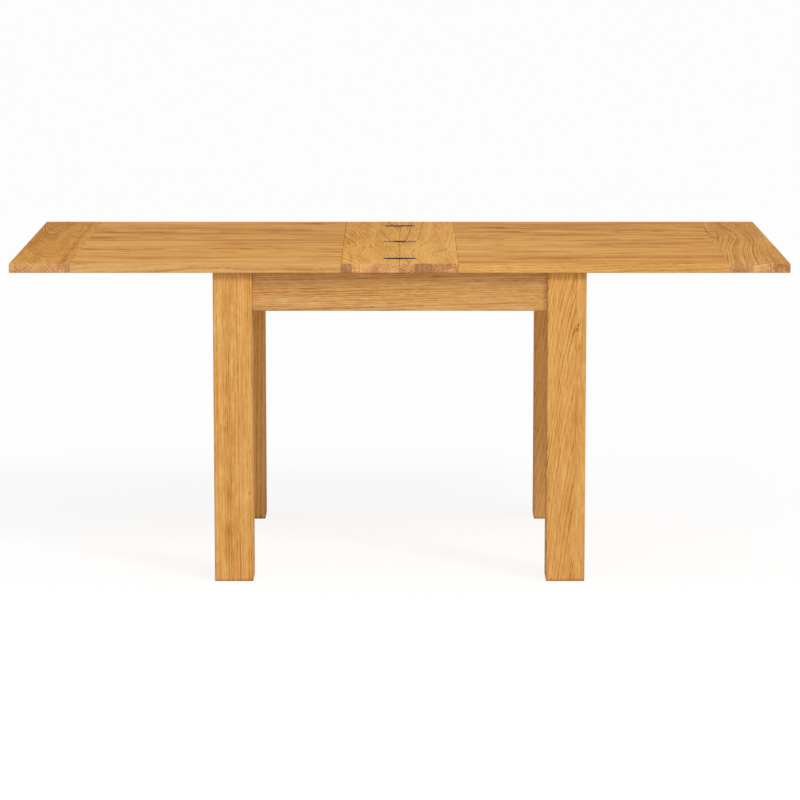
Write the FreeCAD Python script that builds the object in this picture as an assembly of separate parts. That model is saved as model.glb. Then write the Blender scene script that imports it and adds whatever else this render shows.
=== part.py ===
"""Flip-top extending dining table in solid oak, modelled with its top open.

+X runs along the top, +Y away from the front edge and +Z up. The origin is on the floor under the
centre of the frame. Sizes are in millimetres. The fixed leaf lies at -X and slides along the frame,
and the flap lies at +X and folds over onto it.
"""

import FreeCAD
import Part

import math
import os

from FreeCAD import Vector

# The top.
top_length = 1800.0  # both leaves open
top_width = 900.0
top_height = 750.0
leaf_thickness = 22.0
leaf_arris = 2.0
joint_gap = 0.4  # between the two leaves
outer_crossband = 140.0
inner_crossband = 136.0
tongue_thickness = 7.0
tongue_length = 10.0
tongue_stop = 30.0  # from the leaf's long edge to the end of the tongue
band_joint_vee = 0.5  # eased off both boards where a crossband meets the panel

# The frame.
frame_length = 864.0  # over the legs, along X
frame_width = 864.0
leg_size = 90.0
leg_arris = 2.5
apron_height = 90.0
apron_thickness = 22.0
apron_setback = 12.0  # from the leg's face to the apron's
apron_arris = 1.5  # on the lower edges

# The corner joints.
leg_flat = 26.0  # what the flat takes off each side of the leg's inner corner
block_gap = 14.0  # between that flat and the corner block
block_thickness = 28.0
block_inset = 10.0  # from the apron's edges to the block's
block_chamfer = 2.0
bolt_radius = 4.0
bolt_spacing = 42.0
bolt_grip = 52.0  # length in the leg
bolt_tail = 4.0  # past the nut
bolt_hole_gap = 0.5
bolt_chamfer = 0.8  # at the nut's end
bolt_point = 6.0  # length of the point in the leg
bolt_tip_radius = 1.2
washer_radius = 12.0
washer_thickness = 2.0
nut_across_flats = 13.0
nut_height = 6.5
block_screw_length = 30.0
block_screw_radius = 2.0
block_screw_head = 4.0  # radius
block_screw_spacing = 38.0
block_screw_seat = 15.0  # wood left under the head

# The slide.
glide_gap = 2.0  # from the frame's top to the underside of the leaves
glide_width = 14.0
rail_thickness = 36.0
rail_height = 60.0
rail_clearance = 12.0  # from the corner blocks
rail_chamfer = 2.0  # along the lower edges
rail_tenon_length = 10.0
rail_tenon_thickness = 16.0
rail_tenon_height = 40.0
groove_depth = 12.0
groove_height = 14.0
groove_drop = 22.0  # from the rail's top to the groove
runner_width = 28.0
runner_height = 46.0
runner_chamfer = 2.0  # round the underside
runner_screw_count = 4
runner_screw_inset = 35.0
runner_screw_length = 32.0
runner_screw_radius = 2.5
runner_screw_head = 4.8  # radius
runner_screw_seat = 20.0  # wood left over the head

# The hinges.
hinge_inset = 100.0  # from the leaf's long edge to the outer hinges
hinge_reach = 38.0  # from the joint to the plate's round end
hinge_width = 28.0
plate_thickness = 3.0
pin_offset = 5.0  # from the middle of the joint
pin_depth = 3.0  # below the top's surface
pin_radius = 1.5
barrel_radius = 4.6
barrel_pocket_gap = 0.4
link_radius = 2.8
link_width = 5.0
link_offset = 6.5  # from the hinge's middle to the middle of each link
hinge_screw_places = (19.0, 29.0)  # from the joint
hinge_screw_length = 16.0
hinge_screw_radius = 1.75
hinge_screw_head = 3.6  # radius

# Screws, as shares of their head's or shank's radius.
pan_head_height = 0.6  # of the head's radius
pan_head_round = 0.4  # of the head's height
driver_cross_length = 1.2  # of the head's radius
driver_cross_width = 0.28  # of the head's radius
driver_cross_depth = 0.6  # of the head's height
screw_point = 2.0  # of the shank's radius
screw_tip = 0.2  # of the shank's radius

# Clearances.
glue_gap = 0.1  # round a glued tongue or tenon
screw_gap = 0.05
pin_gap = 0.05
plate_gap = 0.2  # round a hinge plate in its recess
running_gap = 0.3  # between pieces that pass each other
slide_gap = 0.5  # round the runner in its rail
overcut = 1.0  # how far a cutter stands out of the piece it cuts
near = 0.01  # two places closer than this are one

# Worked out from the sizes above.
leaf_length = (top_length - joint_gap) / 2
leaf_bottom = top_height - leaf_thickness
frame_top = leaf_bottom - glide_gap
apron_bottom = frame_top - apron_height
slide_travel = (joint_gap + leaf_length) / 2  # brings the fixed leaf over the middle of the frame
leg_inner_x = frame_length / 2 - leg_size
leg_inner_y = frame_width / 2 - leg_size
apron_outer_x = frame_length / 2 - apron_setback
apron_outer_y = frame_width / 2 - apron_setback
apron_inner_x = apron_outer_x - apron_thickness
apron_inner_y = apron_outer_y - apron_thickness
pin_height = top_height - pin_depth
hinge_places = {
    "front": hinge_inset - top_width / 2,
    "centre": 0.0,
    "rear": top_width / 2 - hinge_inset,
}

UP = Vector(0, 0, 1)
DIAGONAL = Vector(1, 1, 0).normalize()  # outwards at the rear right corner
CORNERS = {
    "front_left": (-1, -1),
    "front_right": (1, -1),
    "rear_left": (-1, 1),
    "rear_right": (1, 1),
}


def slab(x, y, z):
    """A box between the low and high limits given for each axis."""
    return Part.makeBox(x[1] - x[0], y[1] - y[0], z[1] - z[0], Vector(x[0], y[0], z[0]))


def prism(points, z):
    """An upright prism on a plan outline, between two heights."""
    corners = [Vector(x, y, z[0]) for x, y in points]
    face = Part.Face(Part.makePolygon(corners + corners[:1]))
    return face.extrude(Vector(0, 0, z[1] - z[0]))


def rod(start, direction, length, radius):
    """A round bar from a point along a direction."""
    return Part.makeCylinder(radius, length, start, direction)


def cross_rod(x, y, z, radius):
    """A round bar along Y, between two limits of y."""
    return rod(Vector(x, y[0], z), Vector(0, 1, 0), y[1] - y[0], radius)


def joined(shapes):
    """Several solids that grow into one piece."""
    return shapes[0].multiFuse(shapes[1:]).removeSplitter()


def rounded(shape, radius, wanted):
    """The shape with the edges that wanted picks rounded over."""
    return shape.makeFillet(radius, [edge for edge in shape.Edges if wanted(edge)])


def chamfered_below(shape, size, wanted):
    """The shape with those edges of its underside chamfered that wanted picks."""
    bottom = shape.BoundBox.ZMin
    edges = [edge for edge in shape.Edges if edge.BoundBox.ZMax < bottom + near and wanted(edge)]
    return shape.makeChamfer(size, edges)


def mirrored_x(shape):
    """The same piece on the other side of the joint."""
    return shape.mirror(Vector(0, 0, 0), Vector(1, 0, 0))


def mirrored_y(shape):
    """The same piece on the other side of the centre line."""
    return shape.mirror(Vector(0, 0, 0), Vector(0, 1, 0))


def at_corner(shape, signs):
    """A piece drawn at the rear right corner, taken to the corner with these signs."""
    if signs[0] < 0:
        shape = mirrored_x(shape)
    if signs[1] < 0:
        shape = mirrored_y(shape)
    return shape


def at_all_corners(shapes):
    """Pieces drawn at the rear right corner, repeated at all four."""
    return [at_corner(shape, signs) for signs in CORNERS.values() for shape in shapes]


def placed(shape, place, direction):
    """A piece drawn with its head at the origin, pointing up, turned and moved into place."""
    turned = shape.copy()
    turned.Placement = FreeCAD.Placement(place, FreeCAD.Rotation(UP, direction))
    return turned


def cross_recess(radius, depth):
    """The cross that a driver fits, cut down into a head whose top is at the origin."""
    half_length = radius * driver_cross_length / 2
    half_width = radius * driver_cross_width / 2
    long_side = (-half_length, half_length)
    short_side = (-half_width, half_width)
    return slab(long_side, short_side, (0, depth)).fuse(slab(short_side, long_side, (0, depth)))


def wood_screw(length, radius, head_radius, countersunk):
    """A screw with the top of its head at the origin and its point at +Z."""
    head_height = head_radius - radius if countersunk else head_radius * pan_head_height
    point_length = radius * screw_point
    if countersunk:
        head = Part.makeCone(head_radius, radius, head_height)
    else:
        head = Part.makeCylinder(head_radius, head_height)
        head = rounded(head, head_height * pan_head_round, lambda edge: edge.BoundBox.ZMax < near)
    shank = Part.makeCylinder(radius, length - point_length)
    point_start = Vector(0, 0, length - point_length)
    point = Part.makeCone(radius, radius * screw_tip, point_length, point_start)
    return joined([head, shank, point]).cut(cross_recess(head_radius, head_height * driver_cross_depth))


def leaf_slab():
    """The whole fixed leaf as one board with its edges eased."""
    right = -joint_gap / 2
    whole = slab((right - leaf_length, right), (-top_width / 2, top_width / 2), (leaf_bottom, top_height))
    return rounded(whole, leaf_arris, lambda edge: True)


def leaf_zones():
    """Limits along X of the outer crossband, the panel and the inner crossband."""
    right = -joint_gap / 2
    left = right - leaf_length
    return {
        "outer_crossband": (left, left + outer_crossband),
        "panel": (left + outer_crossband, right - inner_crossband),
        "inner_crossband": (right - inner_crossband, right),
    }


def tongues(grow):
    """The tongues on both ends of the panel, larger all round by grow for their grooves."""
    low, high = leaf_zones()["panel"]
    reach = tongue_length + grow
    half_run = top_width / 2 - tongue_stop + grow
    half_thickness = tongue_thickness / 2 + grow
    middle = top_height - leaf_thickness / 2
    return slab(
        (low - reach, high + reach),
        (-half_run, half_run),
        (middle - half_thickness, middle + half_thickness),
    )


def vee_cutter(start, run, depth_way):
    """A square bar set cornerwise along one face of the leaf, to cut the vee at a crossband's joint."""
    sideways = Vector(band_joint_vee, 0, 0)
    inwards = depth_way * band_joint_vee
    corners = [start - sideways, start - inwards, start + sideways, start + inwards]
    return Part.Face(Part.makePolygon(corners + corners[:1])).extrude(run)


def joint_vees():
    """The vees round the leaf at both crossband joints: top, underside, front and rear."""
    across = Vector(0, top_width, 0)
    through = Vector(0, 0, leaf_thickness)
    cutters = []
    for x in leaf_zones()["panel"]:
        corner = Vector(x, -top_width / 2, leaf_bottom)
        for start in (corner, corner + through):
            cutters.append(vee_cutter(start, across, UP))
        for start in (corner, corner + across):
            cutters.append(vee_cutter(start, through, Vector(0, 1, 0)))
    return cutters


def hinge_plan(y, grow, z):
    """A hinge plate's outline, with its half-round end, up to the middle of the joint."""
    half_width = hinge_width / 2 + grow
    end = hinge_width / 2 - hinge_reach
    round_end = rod(Vector(end, y, z[0]), UP, z[1] - z[0], half_width)
    return round_end.fuse(slab((end, 0), (y - half_width, y + half_width), z))


def hinge_recess(y):
    """What is cut from the fixed leaf for one hinge: the plate's recess and a deeper one for the barrel."""
    half_width = hinge_width / 2 + plate_gap
    reach = barrel_radius + barrel_pocket_gap
    plate_recess = hinge_plan(y, plate_gap, (top_height - plate_thickness, top_height + overcut))
    barrel_recess = slab(
        (-pin_offset - reach, overcut),
        (y - half_width, y + half_width),
        (pin_height - reach, top_height + overcut),
    )
    return plate_recess.fuse(barrel_recess)


def hinge_screw_solids(y):
    """The countersunk screws of the fixed leaf's side of one hinge."""
    screw = wood_screw(hinge_screw_length, hinge_screw_radius, hinge_screw_head, True)
    return [placed(screw, Vector(-x, y, top_height), -UP) for x in hinge_screw_places]


def hinge_screw_bores(y):
    """Holes that those screws fill in the wood."""
    radius = hinge_screw_radius + screw_gap
    return [rod(Vector(-x, y, top_height), -UP, hinge_screw_length, radius) for x in hinge_screw_places]


def hinge_plate(y):
    """The fixed leaf's plate: flush sheet and round barrel, slotted for the links."""
    half_width = hinge_width / 2
    side = (y - half_width, y + half_width)
    sheet = hinge_plan(y, 0, (top_height - plate_thickness, top_height))
    sheet = sheet.common(slab((-hinge_reach, -pin_offset), side, (0, top_height)))
    barrel = cross_rod(-pin_offset, side, pin_height, barrel_radius)
    barrel = barrel.common(slab((-hinge_reach, 0), side, (0, top_height)))
    plate = joined([sheet, barrel])
    for middle in (y - link_offset, y + link_offset):
        half_slot = link_width / 2 + running_gap
        plate = plate.cut(
            slab(
                (-pin_offset - link_radius - running_gap, 0),
                (middle - half_slot, middle + half_slot),
                (pin_height - barrel_radius, top_height),
            )
        )
    plate = plate.cut(cross_rod(-pin_offset, side, pin_height, pin_radius + pin_gap))
    sink = hinge_screw_head - hinge_screw_radius
    for x in hinge_screw_places:
        top = Vector(-x, y, top_height)
        wide = hinge_screw_head + screw_gap
        narrow = hinge_screw_radius + screw_gap
        plate = plate.cut(Part.makeCone(wide, narrow, sink, top, -UP))
        plate = plate.cut(rod(top, -UP, plate_thickness, narrow))
    return plate


def hinge_pin(y):
    """The pin through the fixed leaf's barrel, a little short of its ends."""
    half_length = hinge_width / 2 - running_gap
    return cross_rod(-pin_offset, (y - half_length, y + half_length), pin_height, pin_radius)


def hinge_links(y):
    """The two links between the pins of one hinge."""
    links = []
    for middle in (y - link_offset, y + link_offset):
        side = (middle - link_width / 2, middle + link_width / 2)
        web = slab(
            (-pin_offset, pin_offset), side, (pin_height - link_radius, pin_height + link_radius)
        )
        ends = [cross_rod(x, side, pin_height, link_radius) for x in (-pin_offset, pin_offset)]
        link = joined([web] + ends)
        for x in (-pin_offset, pin_offset):
            link = link.cut(cross_rod(x, side, pin_height, pin_radius + pin_gap))
        links.append(link)
    return links


def fixed_leaf_pieces():
    """The panel and crossbands of the fixed leaf, cut from one eased board. The flap's are their mirror."""
    whole = leaf_slab().cut(joint_vees())
    pieces = {}
    for name, x in leaf_zones().items():
        pieces[name] = whole.common(slab(x, (-top_width / 2, top_width / 2), (leaf_bottom, top_height)))
    for name in ("outer_crossband", "inner_crossband"):
        pieces[name] = pieces[name].cut(tongues(glue_gap))
    pieces["panel"] = joined([pieces["panel"], tongues(0)])
    for y in hinge_places.values():
        pieces["inner_crossband"] = pieces["inner_crossband"].cut(hinge_recess(y))
        for bore in hinge_screw_bores(y):
            pieces["inner_crossband"] = pieces["inner_crossband"].cut(bore)
    return pieces


def corner_plane(distance_in):
    """x + y on a plane square to the diagonal, this far in from the leg's flat."""
    return leg_inner_x + leg_inner_y + leg_flat - distance_in * math.sqrt(2)


def bolt_heights():
    """Heights of the two hanger bolts in each leg."""
    middle = (frame_top + apron_bottom) / 2
    return (middle - bolt_spacing / 2, middle + bolt_spacing / 2)


def bolt_seat(distance_in, z):
    """The point on a hanger bolt's axis this far in from the leg's flat."""
    spread = leg_inner_x - leg_inner_y
    total = corner_plane(distance_in)
    return Vector((total + spread) / 2, (total - spread) / 2, z)


def leg():
    """The rear right leg."""
    post = slab(
        (leg_inner_x, frame_length / 2), (leg_inner_y, frame_width / 2), (0, frame_top)
    )
    post = rounded(post, leg_arris, lambda edge: edge.BoundBox.ZMin < frame_top - near)
    flat = prism(
        [
            (leg_inner_x, leg_inner_y),
            (leg_inner_x + leg_flat, leg_inner_y),
            (leg_inner_x, leg_inner_y + leg_flat),
        ],
        (apron_bottom, frame_top),
    )
    post = post.cut(flat)
    for z in bolt_heights():
        post = post.cut(rod(bolt_seat(0, z), DIAGONAL, bolt_grip, bolt_radius + screw_gap))
    return post


def block_screw_axes():
    """Head place and direction of each screw of the rear right corner block."""
    inner_edge = corner_plane(block_gap + block_thickness)
    outer_edge = corner_plane(block_gap)
    half_band = (outer_edge - inner_edge) / 2
    head = block_screw_seat + block_screw_head * pan_head_height
    middle = (frame_top + apron_bottom) / 2
    axes = []
    for z in (middle - block_screw_spacing / 2, middle + block_screw_spacing / 2):
        along_y = inner_edge - apron_inner_x + half_band
        along_x = inner_edge - apron_inner_y + half_band
        axes.append((Vector(apron_inner_x - head, along_y, z), Vector(1, 0, 0)))
        axes.append((Vector(along_x, apron_inner_y - head, z), Vector(0, 1, 0)))
    return axes


def block_screw_solids():
    """The screws of the rear right corner block."""
    screw = wood_screw(block_screw_length, block_screw_radius, block_screw_head, False)
    return [placed(screw, place, direction) for place, direction in block_screw_axes()]


def block_screw_bores():
    """Holes that those screws fill in the block and the aprons."""
    radius = block_screw_radius + screw_gap
    return [rod(place, way, block_screw_length, radius) for place, way in block_screw_axes()]


def is_block_inner_edge(edge):
    """Whether this is the long edge over or under the corner block's inner face."""
    inner = corner_plane(block_gap + block_thickness)
    return edge.BoundBox.ZLength < near and all(abs(v.X + v.Y - inner) < near for v in edge.Vertexes)


def corner_block():
    """The rear right corner block, mitred to lie flat against both aprons."""
    inner = corner_plane(block_gap + block_thickness)
    outer = corner_plane(block_gap)
    block = prism(
        [
            (apron_inner_x, inner - apron_inner_x),
            (apron_inner_x, outer - apron_inner_x),
            (outer - apron_inner_y, apron_inner_y),
            (inner - apron_inner_y, apron_inner_y),
        ],
        (apron_bottom + block_inset, frame_top - block_inset),
    )
    block = block.makeChamfer(block_chamfer, [edge for edge in block.Edges if is_block_inner_edge(edge)])
    for z in bolt_heights():
        hole_start = bolt_seat(block_gap + block_thickness + overcut, z)
        block = block.cut(
            rod(hole_start, DIAGONAL, block_thickness + 2 * overcut, bolt_radius + bolt_hole_gap)
        )
    for bore in block_screw_bores():
        block = block.cut(bore)
    for place, way in block_screw_axes():
        seat = place + way * (block_screw_head * pan_head_height)
        block = block.cut(rod(seat, -way, block_thickness * 2, block_screw_head + bolt_hole_gap))
    return block


def bolt_stack():
    """Distances in from the leg's flat to the washer, the nut and the bolt's end."""
    washer = block_gap + block_thickness
    nut = washer + washer_thickness
    return washer, nut, nut + nut_height + bolt_tail


def hanger_bolts():
    """The hanger bolts of the rear right leg, pointed in the wood and chamfered at the nut."""
    end = bolt_stack()[2]
    bolts = []
    for z in bolt_heights():
        start = bolt_seat(end, z)
        body = rod(start, DIAGONAL, end + bolt_grip - bolt_point, bolt_radius)
        body = body.makeChamfer(bolt_chamfer, round_edges_at(body, start))
        tip_place = start + DIAGONAL * (end + bolt_grip - bolt_point)
        tip = Part.makeCone(bolt_radius, bolt_tip_radius, bolt_point, tip_place, DIAGONAL)
        bolts.append(joined([body, tip]))
    return bolts


def round_edges_at(shape, place):
    """The round edges of a bar that are centred on this point."""
    circles = [edge for edge in shape.Edges if isinstance(edge.Curve, Part.Circle)]
    return [edge for edge in circles if edge.Curve.Center.distanceToPoint(place) < near]


def hanger_washers():
    """The washers of the rear right leg's hanger bolts."""
    seat = bolt_stack()[0]
    washers = []
    for z in bolt_heights():
        disc = rod(bolt_seat(seat, z), -DIAGONAL, washer_thickness, washer_radius)
        hole = rod(bolt_seat(seat, z), -DIAGONAL, washer_thickness, bolt_radius + bolt_hole_gap)
        washers.append(disc.cut(hole))
    return washers


def hanger_nuts():
    """The hexagonal nuts of the rear right leg's hanger bolts."""
    seat = bolt_stack()[1]
    corner_radius = nut_across_flats / math.sqrt(3)
    turns = [math.radians(60 * i) for i in range(6)]
    hexagon = prism(
        [(corner_radius * math.cos(turn), corner_radius * math.sin(turn)) for turn in turns],
        (0, nut_height),
    )
    nut = hexagon.cut(Part.makeCylinder(bolt_radius + screw_gap, nut_height))
    return [placed(nut, bolt_seat(seat, z), -DIAGONAL) for z in bolt_heights()]


def rail_outer_y():
    """The rear rail's outer face, clear of the corner blocks."""
    block_end = corner_plane(block_gap + block_thickness) - apron_inner_x
    return block_end - rail_clearance


def rail_tenons(grow):
    """Both stub tenons of the rear rail as one bar, larger all round by grow for their mortises."""
    middle_y = rail_outer_y() - rail_thickness / 2
    middle_z = frame_top - rail_height / 2
    reach = apron_inner_x + rail_tenon_length + grow
    half_thickness = rail_tenon_thickness / 2 + grow
    half_height = rail_tenon_height / 2 + grow
    return slab(
        (-reach, reach),
        (middle_y - half_thickness, middle_y + half_thickness),
        (middle_z - half_height, middle_z + half_height),
    )


def guide_rail():
    """The rear guide rail, with the groove in its inner side and a stub tenon at each end."""
    outer = rail_outer_y()
    inner = outer - rail_thickness
    bar = slab((-apron_inner_x, apron_inner_x), (inner, outer), (frame_top - rail_height, frame_top))
    bar = chamfered_below(bar, rail_chamfer, lambda edge: edge.BoundBox.XLength > near)
    groove_top = frame_top - groove_drop
    groove = slab(
        (-apron_inner_x - rail_tenon_length, apron_inner_x + rail_tenon_length),
        (inner - overcut, inner + groove_depth),
        (groove_top - groove_height, groove_top),
    )
    return joined([bar, rail_tenons(0)]).cut(groove)


def runner_limits():
    """Limits along X of the runners with the top open: the side aprons stop them at both ends."""
    start = -apron_inner_x + running_gap
    return start, apron_inner_x - running_gap - slide_travel


def runner_screw_axes():
    """Head places of the rear runner's screws, which point up into the fixed leaf."""
    start, end = runner_limits()
    first = start + runner_screw_inset
    step = (end - runner_screw_inset - first) / (runner_screw_count - 1)
    head_height = runner_screw_head * pan_head_height
    y = rail_outer_y() - rail_thickness - slide_gap - runner_width / 2
    z = leaf_bottom - runner_screw_seat - head_height
    return [Vector(first + step * i, y, z) for i in range(runner_screw_count)]


def slide_runner():
    """The rear runner: a batten whose tongue runs in the rail's groove."""
    start, end = runner_limits()
    outer = rail_outer_y() - rail_thickness - slide_gap
    bottom = leaf_bottom - runner_height
    batten = slab((start, end), (outer - runner_width, outer), (bottom, leaf_bottom))
    batten = chamfered_below(batten, runner_chamfer, lambda edge: True)
    groove_top = frame_top - groove_drop
    tongue = slab(
        (start, end),
        (outer, outer + groove_depth),
        (groove_top - groove_height + slide_gap, groove_top - slide_gap),
    )
    runner = joined([batten, tongue])
    for head in runner_screw_axes():
        seat = head + UP * (runner_screw_head * pan_head_height)
        runner = runner.cut(rod(seat, -UP, runner_height, runner_screw_head + bolt_hole_gap))
        runner = runner.cut(rod(seat, UP, runner_height, runner_screw_radius + screw_gap))
    return runner


def runner_screw_solids():
    """The screws of both runners."""
    screw = wood_screw(runner_screw_length, runner_screw_radius, runner_screw_head, False)
    rear = [placed(screw, head, UP) for head in runner_screw_axes()]
    return rear + [mirrored_y(shape) for shape in rear]


def runner_screw_bores():
    """Holes that those screws fill in the fixed leaf."""
    radius = runner_screw_radius + screw_gap
    rear = [rod(head, UP, runner_screw_length, radius) for head in runner_screw_axes()]
    return rear + [mirrored_y(shape) for shape in rear]


def glide_strips():
    """Thin strips on the aprons, which the leaves slide over."""
    z = (frame_top, leaf_bottom - running_gap)
    middle_x = apron_inner_x + apron_thickness / 2
    middle_y = apron_inner_y + apron_thickness / 2
    half_width = glide_width / 2
    rear = slab((-leg_inner_x, leg_inner_x), (middle_y - half_width, middle_y + half_width), z)
    right = slab((middle_x - half_width, middle_x + half_width), (-leg_inner_y, leg_inner_y), z)
    return {
        "glide_strip_front": mirrored_y(rear),
        "glide_strip_rear": rear,
        "glide_strip_left": mirrored_x(right),
        "glide_strip_right": right,
    }


def is_low(edge):
    """Whether this edge lies in the aprons' underside."""
    return edge.BoundBox.ZMax < apron_bottom + near


def aprons():
    """The four aprons, bored for the block screws and mortised for the rails."""
    z = (apron_bottom, frame_top)
    rear = slab((-leg_inner_x, leg_inner_x), (apron_inner_y, apron_outer_y), z)
    right = slab((apron_inner_x, apron_outer_x), (-leg_inner_y, leg_inner_y), z)
    rear = rounded(rear, apron_arris, lambda edge: is_low(edge) and edge.BoundBox.XLength > apron_thickness)
    right = rounded(right, apron_arris, lambda edge: is_low(edge) and edge.BoundBox.YLength > apron_thickness)
    mortises = rail_tenons(glue_gap)
    for cutter in (mortises, mirrored_y(mortises)):
        right = right.cut(cutter)
    for bore in at_all_corners(block_screw_bores()):
        rear = rear.cut(bore)
        right = right.cut(bore)
    return {
        "apron_front": mirrored_y(rear),
        "apron_rear": rear,
        "apron_left": mirrored_x(right),
        "apron_right": right,
    }


def frame_pieces():
    """Every piece of the standing frame, by name."""
    pieces = dict(aprons())
    for name, signs in CORNERS.items():
        pieces["leg_" + name] = at_corner(leg(), signs)
        pieces["corner_block_" + name] = at_corner(corner_block(), signs)
    pieces["corner_block_screws"] = Part.makeCompound(at_all_corners(block_screw_solids()))
    pieces["hanger_bolts"] = Part.makeCompound(at_all_corners(hanger_bolts()))
    pieces["hanger_washers"] = Part.makeCompound(at_all_corners(hanger_washers()))
    pieces["hanger_nuts"] = Part.makeCompound(at_all_corners(hanger_nuts()))
    pieces["guide_rail_rear"] = guide_rail()
    pieces["guide_rail_front"] = mirrored_y(guide_rail())
    pieces.update(glide_strips())
    return pieces


def top_pieces():
    """Every piece of the two leaves, by name, without the hinges."""
    pieces = {}
    for name, shape in fixed_leaf_pieces().items():
        pieces["flap_" + name] = mirrored_x(shape)
        for bore in runner_screw_bores():
            shape = shape.cut(bore)
        pieces["fixed_leaf_" + name] = shape
    pieces["slide_runner_rear"] = slide_runner()
    pieces["slide_runner_front"] = mirrored_y(slide_runner())
    pieces["slide_runner_screws"] = Part.makeCompound(runner_screw_solids())
    return pieces


def hinge_pieces():
    """Every piece of the three hinges, by name."""
    pieces = {}
    pins = []
    screws = []
    for name, y in hinge_places.items():
        plate = hinge_plate(y)
        pieces["hinge_%s_fixed_plate" % name] = plate
        pieces["hinge_%s_flap_plate" % name] = mirrored_x(plate)
        pieces["hinge_%s_links" % name] = Part.makeCompound(hinge_links(y))
        pins.append(hinge_pin(y))
        screws += hinge_screw_solids(y)
    pieces["hinge_pins_fixed"] = Part.makeCompound(pins)
    pieces["hinge_pins_flap"] = Part.makeCompound([mirrored_x(pin) for pin in pins])
    pieces["hinge_screws_fixed"] = Part.makeCompound(screws)
    pieces["hinge_screws_flap"] = Part.makeCompound([mirrored_x(screw) for screw in screws])
    return pieces


os.makedirs("parts", exist_ok=True)
for group in (frame_pieces(), top_pieces(), hinge_pieces()):
    for node, shape in group.items():
        shape.exportStep("parts/%s.step" % node)
        volume = sum(solid.Volume for solid in shape.Solids)
        print("%-32s %3d solids %12.1f mm3 valid %s" % (node, len(shape.Solids), volume, shape.isValid()))
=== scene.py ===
import math

import bmesh
import bpy
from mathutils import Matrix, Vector


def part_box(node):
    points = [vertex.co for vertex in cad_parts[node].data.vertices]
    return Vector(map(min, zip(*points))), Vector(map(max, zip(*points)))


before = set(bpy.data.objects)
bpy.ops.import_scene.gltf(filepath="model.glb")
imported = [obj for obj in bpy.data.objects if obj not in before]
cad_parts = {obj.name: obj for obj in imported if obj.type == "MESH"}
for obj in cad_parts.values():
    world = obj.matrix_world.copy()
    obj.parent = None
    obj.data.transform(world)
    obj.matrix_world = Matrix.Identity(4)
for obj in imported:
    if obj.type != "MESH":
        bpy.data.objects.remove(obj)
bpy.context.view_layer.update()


# ------------------------------------------------------------------------------------------- Legs
# Four square legs of solid oak, grain upright, each sawn from one thick board or glued up from two.
# They are planed, their arrises are eased, and they are lacquered satin. The aprons butt against
# their inner sides.

def add(tree, kind, **settings):
    """A new node of this kind, with its settings."""
    node = tree.nodes.new(kind)
    for name, value in settings.items():
        setattr(node, name, value)
    return node


def feed(tree, socket, value):
    """Joins another node's result to a socket, or writes a plain value into it."""
    if isinstance(value, bpy.types.NodeSocket):
        tree.links.new(value, socket)
    else:
        socket.default_value = value


def maths(tree, operation, *values, clamp=False):
    """The result of a sum on numbers."""
    node = add(tree, "ShaderNodeMath", operation=operation, use_clamp=clamp)
    for socket, value in zip(node.inputs, values):
        feed(tree, socket, value)
    return node.outputs[0]


def vectors(tree, operation, *values):
    """The result of a sum on vectors."""
    node = add(tree, "ShaderNodeVectorMath", operation=operation)
    for socket, value in zip(node.inputs, values):
        feed(tree, socket, value)
    return node.outputs["Value" if operation in ("LENGTH", "DOT_PRODUCT") else "Vector"]


def parts_of(tree, vector):
    """The three numbers of a vector."""
    node = add(tree, "ShaderNodeSeparateXYZ")
    feed(tree, node.inputs[0], vector)
    return node.outputs[0], node.outputs[1], node.outputs[2]


def vector_of(tree, x, y, z):
    """A vector of three numbers."""
    node = add(tree, "ShaderNodeCombineXYZ")
    for socket, value in zip(node.inputs, (x, y, z)):
        feed(tree, socket, value)
    return node.outputs[0]


def mottle(tree, place, stretch, detail=2.0, rough=0.5):
    """A soft cloudy pattern round 0.5, with this many clouds to the metre along each axis."""
    node = add(tree, "ShaderNodeTexNoise", noise_dimensions="3D")
    feed(tree, node.inputs["Vector"], vectors(tree, "MULTIPLY", place, stretch))
    node.inputs["Scale"].default_value = 1.0
    node.inputs["Detail"].default_value = detail
    node.inputs["Roughness"].default_value = rough
    return node.outputs


def spread(tree, value, low, high, to_low=0.0, to_high=1.0, smooth=False):
    """A number taken from one range to another and held there."""
    node = add(tree, "ShaderNodeMapRange", clamp=True)
    node.interpolation_type = "SMOOTHSTEP" if smooth else "LINEAR"
    for socket, number in zip(node.inputs, (value, low, high, to_low, to_high)):
        feed(tree, socket, number)
    return node.outputs[0]


def new_pattern(name, inputs, outputs):
    """An empty pattern with its inputs and outputs, to be used by several materials."""
    tree = bpy.data.node_groups.new(name, "ShaderNodeTree")
    for title, kind in inputs:
        tree.interface.new_socket(name=title, in_out="INPUT", socket_type="NodeSocket" + kind)
    for title, kind in outputs:
        tree.interface.new_socket(name=title, in_out="OUTPUT", socket_type="NodeSocket" + kind)
    return tree, add(tree, "NodeGroupInput").outputs, add(tree, "NodeGroupOutput").inputs


def mixed(tree, share, one, other):
    """One colour or wood turning into another as share goes from 0 to 1."""
    node = add(tree, "ShaderNodeMix", data_type="RGBA")
    feed(tree, node.inputs["Factor"], share)
    feed(tree, node.inputs[6], one)
    feed(tree, node.inputs[7], other)
    return node.outputs[2]


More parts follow.
